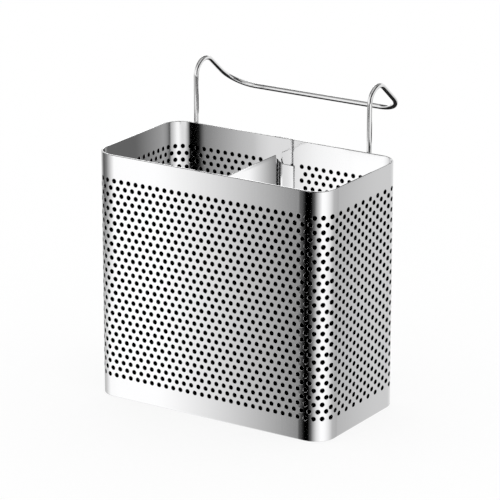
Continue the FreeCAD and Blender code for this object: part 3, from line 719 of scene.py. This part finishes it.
FLOOR_SIZE = 8
FLOOR_GAP = 0.3 * MM
FLOOR_SHADE = 0.2
bpy.ops.object.select_all(action="DESELECT")
bpy.ops.mesh.primitive_plane_add(size=FLOOR_SIZE, location=(0, 0, -FLOOR_GAP))
floor = bpy.context.object
floor.name = "floor"
material, finish = stage_finish("white_floor")
matt = finish.node("ShaderNodeBsdfDiffuse", sockets={"Color": (FLOOR_SHADE, FLOOR_SHADE, FLOOR_SHADE, 1)})
glow = finish.node("ShaderNodeEmission", sockets={"Strength": 1 - FLOOR_SHADE})
both = finish.node("ShaderNodeAddShader", sockets={0: matt, 1: glow})
below = finish.node("ShaderNodeNewGeometry", output="Backfacing")
clear = finish.node("ShaderNodeBsdfTransparent")
floor_top = finish.node("ShaderNodeMixShader", sockets={0: below, 1: both, 2: clear})
finish.node("ShaderNodeOutputMaterial", sockets={"Surface": floor_top})
paint(floor, material)
floor.visible_glossy = False


# The light tent: three rings of plain panels round the basket, one above the other, and a roof. They show
# only in reflections, where they give the steel the upright bands that the photograph shows.
def reflected_only(piece):
    """Makes a stage piece show in reflections and nowhere else."""
    for kind in ("camera", "diffuse", "transmission", "volume_scatter", "shadow"):
        setattr(piece, "visible_" + kind, False)


def glowing(name, panels, reading, foot_panels=None, one_sided=False):
    """A glow of (place, strength) panels, read off by a function of a finish, with others at its foot."""
    foot_blend = 0.1
    material, finish = stage_finish(name)
    brightest = max(shade for _, shade in panels + (foot_panels or []))

    def ramp(stops):
        low, high = stops[0][0], stops[-1][0]
        return finish.node("ShaderNodeValToRGB", {
            "stops": [((spot - low) / (high - low), shade / brightest) for spot, shade in stops]},
            {"Fac": (reading(finish) - low) * (1 / (high - low))})

    colour = ramp(panels)
    if foot_panels:
        level = Reading(along_x(finish).socket.node.outputs["Z"])
        colour = finish.node("ShaderNodeMix", {"data_type": "RGBA"}, {
            0: (level + foot_blend / 2) * (1 / foot_blend), 6: ramp(foot_panels), 7: colour}, output=2)
    glow = finish.node("ShaderNodeEmission", sockets={"Color": colour, "Strength": brightest})
    if one_sided:
        behind = finish.node("ShaderNodeNewGeometry", output="Backfacing")
        clear = finish.node("ShaderNodeBsdfTransparent")
        glow = finish.node("ShaderNodeMixShader", sockets={0: behind, 1: glow, 2: clear})
    finish.node("ShaderNodeOutputMaterial", sockets={"Surface": glow})
    material.cycles.emission_sampling = "NONE"
    return material


def along_x(finish):
    """Places along X, in metres."""
    place = finish.node("ShaderNodeTexCoord", output="Object")
    return finish.node("ShaderNodeSeparateXYZ", sockets={"Vector": place}, output="X")


def along_y(finish):
    """Places along Y, in metres."""
    return Reading(along_x(finish).socket.node.outputs["Y"])


def bearing(finish):
    """Bearings round the basket in degrees, from +X towards +Y."""
    across = along_x(finish)
    deep = Reading(across.socket.node.outputs["Y"])
    return across.joined("ARCTAN2", deep, across) * (180 / math.pi)


TENT_RADIUS = 0.35
TENT_FOOT = -0.3
TENT_RIM = 0.16
TENT_WIRE = 0.3
TENT_TOP = 0.7
FRONT_PANELS = [(-131, 1.33), (-125, 1.35), (-109, 0.33)]
RIGHT_PANELS = [
    (-30, 1.35), (-18, 1.3), (-4, 1.05), (14, 0.62), (44, 0.54), (49, 0.78), (125, 1.1), (165, 0.6)]
BODY_PANELS = [(-180, 0.1), (-162, 0.3)] + FRONT_PANELS
BODY_PANELS += [(-107, 0.14), (-98, 0.06), (-88, 0.0), (-65, 0.0), (-55, 0.13), (-37, 1.0)]
BODY_PANELS += RIGHT_PANELS + [(180, 0.1)]
FOOT_PANELS = [(-180, 0.75), (-158, 1.28)] + FRONT_PANELS
FOOT_PANELS += [(-107, 0.1), (-96, 0.02), (-88, 0.0), (-73, 0.0), (-63, 0.13), (-44, 1.0)]
FOOT_PANELS += RIGHT_PANELS + [(180, 0.75)]
RIM_PANELS = [
    (-180, 1.1), (-66, 1.1), (-60, 0.03), (-14, 0.03), (-8, 1.0), (110, 1.0), (150, 0.7), (180, 1.1)]
WIRE_PANELS = [
    (-180, 0.1), (-150, 0.1), (-138, 1.1), (-100, 1.1), (-60, 0.3), (-40, 0.03), (45, 0.03), (70, 0.4),
    (110, 0.1), (180, 0.1)]
ROOF_SHADE = 0.6
for name, foot, top, panels, foot_panels in (
        ("body_tent", TENT_FOOT, TENT_RIM, BODY_PANELS, FOOT_PANELS),
        ("rim_tent", TENT_RIM, TENT_WIRE, RIM_PANELS, None),
        ("wire_tent", TENT_WIRE, TENT_TOP, WIRE_PANELS, None)):
    bpy.ops.object.select_all(action="DESELECT")
    bpy.ops.mesh.primitive_cylinder_add(
        vertices=96, radius=TENT_RADIUS, depth=top - foot, end_fill_type="NOTHING")
    tent = bpy.context.object
    tent.name = name
    start_editing(tent)
    bpy.ops.mesh.select_all(action="SELECT")
    bpy.ops.transform.translate(value=(0, 0, (top + foot) / 2))
    stop_editing()
    paint(tent, glowing(name + "_panels", panels, bearing, foot_panels))
    reflected_only(tent)
bpy.ops.object.select_all(action="DESELECT")
bpy.ops.mesh.primitive_circle_add(
    vertices=96, radius=TENT_RADIUS, fill_type="NGON", location=(0, 0, TENT_TOP))
roof = bpy.context.object
roof.name = "tent_roof"
paint(roof, glowing("roof_panel", [(-1, ROOF_SHADE), (1, ROOF_SHADE)], along_x))
reflected_only(roof)

# Small cards, again seen only in reflections: a dark shelf under the hooks, two dark flags over the front and
# back rims, and a strip light behind the basket. They draw the fine lines along the wire and the rims.
FACING_UP = (0, 0, 0)
FACING_DOWN = (math.pi, 0, 0)
FACING_BASKET = (math.pi / 2, 0, math.radians(36))
NEARLY_BLACK = 0.02
STRIP_SHADE = 3
for name, place, turn, length, breadth, shade in (
        ("dark_shelf", (0.01, 0.0835, 0.1515), FACING_UP, 0.17, 0.043, NEARLY_BLACK),
        ("front_flag", (-0.01, -0.0565, 0.165), FACING_DOWN, 0.24, 0.057, NEARLY_BLACK),
        ("back_flag", (0, 0.029, 0.165), FACING_DOWN, 0.15, 0.042, NEARLY_BLACK),
        ("strip_light", (-0.194, 0.267, 0.253), FACING_BASKET, 0.16, 0.05, STRIP_SHADE)):
    bpy.ops.object.select_all(action="DESELECT")
    bpy.ops.mesh.primitive_plane_add(size=1, location=place, rotation=turn)
    card = bpy.context.object
    card.name = name
    card.scale = (length, breadth, 1)
    bpy.ops.object.transform_apply(location=True, rotation=True, scale=True)
    paint(card, glowing(name + "_panel", [(-1, shade), (1, shade)], along_x, one_sided=True))
    reflected_only(card)

# Cards line the walls and the divider on the inside, each seen from its own compartment and only in
# reflections: they light the inside of the basket, which the photograph shows pale and smooth.
def inside_card(name, at, reading, panels):
    """A card placed by a function of its two shares, along and up, and lit along X or Y in millimetres."""
    bpy.ops.object.select_all(action="DESELECT")
    bpy.ops.mesh.primitive_grid_add(x_subdivisions=60, y_subdivisions=1, size=2)
    card = bpy.context.object
    card.name = name
    start_editing(card)
    bpy.ops.mesh.select_all(action="SELECT")
    move_chosen(lambda spot: Vector(at((1 + spot.x) / 2, (1 + spot.y) / 2)))
    stop_editing()
    places = [(spot * MM, shade) for spot, shade in panels]
    paint(card, glowing(name + "_panels", places, reading, one_sided=True))
    reflected_only(card)


def lining(first, last, inset, foot=0, top=HEIGHT - MM):
    """Places of a card that lines the wall between two laid-out lengths, and faces inwards."""
    return lambda along, up: (
        *wrapped(last + (first - last) * along, -GAUGE - inset), foot + up * (top - foot))


def plate_side(x, turned):
    """Places of a card along one side of the divider."""
    return lambda along, up: (x, turned * (along - 0.5) * PLATE_CARD, up * PLATE_TOP)


CORNER_MIDDLE = (SIDE_END + BACK_START) / 2
FRONT_CARD = 77.2 * MM
FRONT_CARD_TOP = 125 * MM
SIDE_CARD = 70 * MM
PLATE_CARD = 83 * MM
PLATE_GAP = PLATE / 2 + 0.2 * MM
NEAR = 0.4 * MM
AWAY = 4 * MM
LEFT_BACK_END = -(BACK_MIDDLE + MIDDLE)
RIGHT_BACK_END = BACK_MIDDLE - MIDDLE
inside_card("front_rim_card", lining(-FRONT_CARD, FRONT_CARD, AWAY, foot=FRONT_CARD_TOP), along_x, [
    (-78, 0.4), (-70, 1.0), (-30, 1.0), (-22, 0.0), (-2, 0.0), (4, 0.5), (78, 0.5)])
inside_card("front_card", lining(-FRONT_CARD, FRONT_CARD, AWAY, top=FRONT_CARD_TOP), along_x, [
    (-78, 0.3), (-70, 0.8), (-60, 0.95), (-40, 0.95), (-8, 1.2), (0, 1.35), (78, 1.4)])
inside_card("left_card", lining(-CORNER_MIDDLE, -SIDE_CARD, NEAR), along_y, [
    (-41, 0.7), (0, 0.37), (10, 0.28), (16, 0.0), (41, 0.0)])
inside_card("right_card", lining(SIDE_CARD, CORNER_MIDDLE, NEAR), along_y, [
    (-41, NEARLY_BLACK), (41, NEARLY_BLACK)])
inside_card("back_left_card", lining(LEFT_BACK_END, -CORNER_MIDDLE, NEAR), along_x, [
    (-78, 0.5), (-71, 0.44), (-50, 0.16), (-4, 0.16)])
inside_card("back_right_card", lining(CORNER_MIDDLE, RIGHT_BACK_END, AWAY), along_x, [
    (-4, 0.3), (16, 1.3), (30, 1.3), (60, 0.9), (78, 0.8)])
inside_card("divider_left_card", plate_side(MIDDLE - PLATE_GAP, -1), along_y, [
    (-42, 1.29), (-10, 1.24), (42, 0.5)])
inside_card("divider_right_card", plate_side(MIDDLE + PLATE_GAP, 1), along_y, [
    (-42, 1.35), (0, 1.21), (42, 0.9)])

# Black cards in the thickness of the wall, for the camera alone: the photograph's holes are black even
# where the white ground is behind them.
# The black is painted shade: it makes the holes dark where the white ground would show through them.
BACKING_DEPTH = 0.1 * MM
BACKING_LEFT = 13 * MM - BACK_MIDDLE
BACKING_RIGHT = BACK_MIDDLE - 9 * MM
for number, level in enumerate((-BACKING_DEPTH, BACKING_DEPTH - GAUGE)):
    bpy.ops.object.select_all(action="DESELECT")
    bpy.ops.mesh.primitive_grid_add(x_subdivisions=240, y_subdivisions=1, size=2)
    backing = bpy.context.object
    backing.name = f"hole_shade_card_{number}"
    start_editing(backing)
    bpy.ops.mesh.select_all(action="SELECT")
    move_chosen(lambda spot: Vector((
        BACKING_LEFT + (spot.x + 1) / 2 * (BACKING_RIGHT - BACKING_LEFT),
        FIELD_FOOT + (spot.y + 1) / 2 * (FIELD_TOP - FIELD_FOOT), level)))
    stop_editing()
    wrap_round(backing)
    material, finish = stage_finish("painted_hole_shade")
    black = finish.node("ShaderNodeEmission", sockets={"Strength": 0.0})
    finish.node("ShaderNodeOutputMaterial", sockets={"Surface": black})
    paint(backing, material)
    for kind in ("diffuse", "glossy", "transmission", "volume_scatter", "shadow"):
        setattr(backing, "visible_" + kind, False)

# The light: even white from all round, at the strength at which white is white. The camera's picture of it
# is also the white ground behind the basket.
world = bpy.data.worlds.new("white_studio")
world.use_nodes = True
finish = Finish(world.node_tree)
sky = finish.node("ShaderNodeBackground", sockets={"Color": (1, 1, 1, 1), "Strength": 1.0})
finish.node("ShaderNodeOutputWorld", sockets={"Surface": sky})
bpy.context.scene.world = world
bpy.context.scene.view_settings.view_transform = "Standard"

# The camera stands at the photograph's place: right of the front, above the rim and far back, with a
# long lens.
AZIMUTH = math.radians(32.821)
ELEVATION = math.radians(17.951)
camera_data = bpy.data.cameras.new("camera")
camera_data.sensor_width = 36
camera_data.lens = 225.9
camera = bpy.data.objects.new("camera", camera_data)
bpy.context.collection.objects.link(camera)
camera.location = (0.95811, -1.48177, 0.66416)
camera.rotation_euler = (math.pi / 2 - ELEVATION, 0, AZIMUTH)
bpy.context.scene.camera = camera
